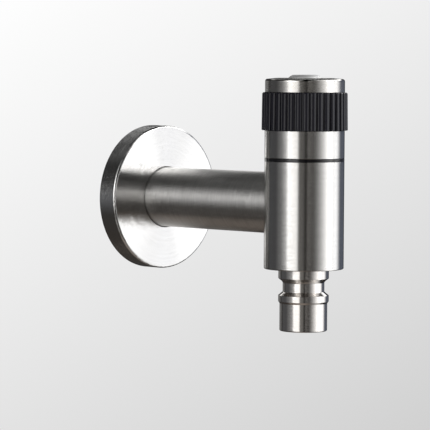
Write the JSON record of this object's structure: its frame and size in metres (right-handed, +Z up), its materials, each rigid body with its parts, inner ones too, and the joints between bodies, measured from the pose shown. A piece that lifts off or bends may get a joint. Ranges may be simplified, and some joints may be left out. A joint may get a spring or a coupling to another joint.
{
  "type": "outdoor spigot",
  "caption": "Wall-mounted outdoor spigot: round rosette and arm, upright round body, ribbed quarter-turn knob and a grooved quick-coupling hose nipple.",
  "frame": {"origin": "centre of the wall face: the point where the arm's axis meets the wall plane", "axes": "+Y into the wall along the inlet thread, so the tap stands out along -Y; +Z up along the upright body; +X to the right as seen facing the wall"},
  "size_m": [0.0656, 0.1279, 0.1122],
  "materials": {
    "brushed_body": "circumferentially brushed stainless steel",
    "brushed_arm": "brushed round the tube",
    "brushed_cap": "finely turned",
    "rosette_steel": "face-turned stainless steel",
    "nipple_steel": "fine turned, nearly polished",
    "badge_steel": "satin",
    "turned_steel": "as turned",
    "spring_steel": "drawn wire",
    "strainer_mesh": "stainless mesh",
    "cartridge_brass": "turned brass",
    "ceramic": "lapped alumina",
    "grip_black": "moulded, satin",
    "black_ring": "gloss acetal",
    "hub_plastic": "glass-filled nylon",
    "white_plastic": "acetal",
    "blue_plastic": "acetal",
    "seal_rubber": "smooth EPDM",
    "gasket_rubber": "closed-cell foam rubber"
  },
  "bodies": {
    "tap": {"valve_body": "brushed_body", "arm_tube": "brushed_arm", "inlet_stud": "turned_steel", "inlet_o_ring": "seal_rubber", "inlet_strainer": "strainer_mesh", "slide_ring": "black_ring", "cartridge_housing": "cartridge_brass", "housing_o_ring": "seal_rubber", "seat_seal": "seal_rubber", "fixed_disc": "ceramic", "outlet_nipple": "nipple_steel", "nipple_washer": "seal_rubber", "check_cage": "white_plastic", "check_o_ring": "seal_rubber"},
    "handle": {"moving_disc": "ceramic", "spindle": "cartridge_brass", "spindle_o_rings": "seal_rubber", "spindle_washer": "white_plastic", "spindle_circlip": "spring_steel", "spline_hub": "hub_plastic", "handle_sleeve": "brushed_body", "grip_ring": "grip_black", "handle_cap": "brushed_cap", "cap_badge": "badge_steel", "handle_screw": "turned_steel", "handle_washer": "turned_steel"},
    "poppet": {"check_poppet": "blue_plastic", "poppet_seal": "seal_rubber", "check_spring": "spring_steel"},
    "wall_rosette": {"rosette": "rosette_steel", "rosette_o_ring": "seal_rubber", "rosette_gasket": "gasket_rubber"}
  },
  "joints": [
    {"name": "handle_turn", "type": "hinge", "parent": "tap", "child": "handle", "pos_m": [0, -0.0956, 0.0189], "axis": [0, 0, 1], "range_deg": [0, 90]},
    {"name": "rosette_slide", "type": "slide", "parent": "tap", "child": "wall_rosette", "axis": [0, -1, 0], "range_m": [0, 0.06]},
    {"name": "poppet_slide", "type": "slide", "parent": "tap", "child": "poppet", "axis": [0, 0, -1], "range_m": [0, 0.0035], "stiffness_N_per_m": 100, "springref_m": -0.002, "deforming": ["check_spring"]}
  ]
}
